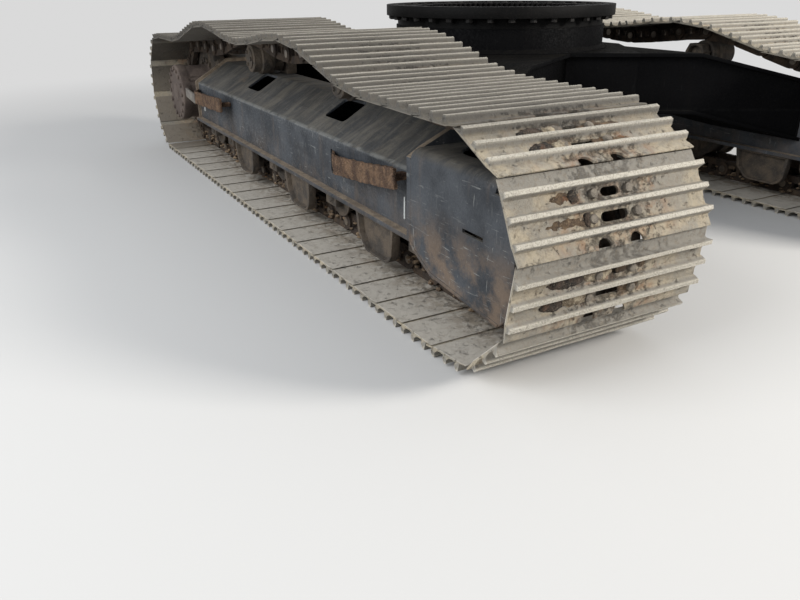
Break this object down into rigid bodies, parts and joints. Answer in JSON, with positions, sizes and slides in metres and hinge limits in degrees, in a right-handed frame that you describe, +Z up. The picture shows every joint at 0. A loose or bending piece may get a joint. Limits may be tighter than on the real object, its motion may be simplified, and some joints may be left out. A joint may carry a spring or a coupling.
{
  "type": "crawler excavator undercarriage",
  "caption": "Excavator undercarriage: crawler tracks with triple grouser shoes on both side frames, X shaped carbody and slewing ring that turns.",
  "frame": {"origin": "on the ground under the middle of the undercarriage's box", "axes": "+X forward to the idlers, +Y to the left track, +Z up along the slewing axis"},
  "size_m": [4.9252, 3.39, 1.095],
  "materials": {
    "carbody_paint": "matt black paint with fine dust",
    "frame_paint": "scuffed blue black paint with brown dust and rust",
    "shoe_steel": "worn steel under pale dried mud",
    "chain_steel": "rusty steel with dried mud",
    "wheel_steel": "dusty dark steel, bright on the treads",
    "drive_paint": "brown grey dust over paint",
    "step_rust": "pitted orange brown rust",
    "ring_steel": "dark machined steel with grease",
    "swivel_metal": "grey casting"
  },
  "bodies": {
    "undercarriage": {"carbody_centre": "carbody_paint", "bottom_cover": "carbody_paint", "tower": "carbody_paint", "slew_inner_race": "ring_steel", "swivel_barrel": "swivel_metal", "leg_front_left": "carbody_paint", "leg_front_right": "carbody_paint", "leg_rear_left": "carbody_paint", "leg_rear_right": "carbody_paint", "track_frame_left": "frame_paint", "track_frame_right": "frame_paint", "idler_guard_left": "frame_paint", "idler_guard_right": "frame_paint", "idler_left": "wheel_steel", "idler_right": "wheel_steel", "idler_yoke_left": "wheel_steel", "idler_yoke_right": "wheel_steel", "sprocket_left": "wheel_steel", "sprocket_right": "wheel_steel", "final_drive_left": "drive_paint", "final_drive_right": "drive_paint", "travel_motor_left": "frame_paint", "travel_motor_right": "frame_paint", "motor_guard_left": "frame_paint", "motor_guard_right": "frame_paint", "carrier_roller_rear_left": "wheel_steel", "carrier_roller_rear_right": "wheel_steel", "carrier_roller_front_left": "wheel_steel", "carrier_roller_front_right": "wheel_steel", "track_rollers_left": "wheel_steel", "track_rollers_right": "wheel_steel", "chain_guards_left": "wheel_steel", "chain_guards_right": "wheel_steel", "steps_left": "step_rust", "steps_right": "step_rust", "track_shoes_left": "shoe_steel", "track_shoes_right": "shoe_steel", "track_chain_left": "chain_steel", "track_chain_right": "chain_steel"},
    "slew_ring": {"slew_outer_race": "ring_steel", "swivel_stem": "swivel_metal"}
  },
  "joints": [
    {"name": "slew", "type": "hinge", "parent": "undercarriage", "child": "slew_ring", "pos_m": [0, 0, 1.065], "axis": [0, 0, 1], "continuous": true}
  ]
}
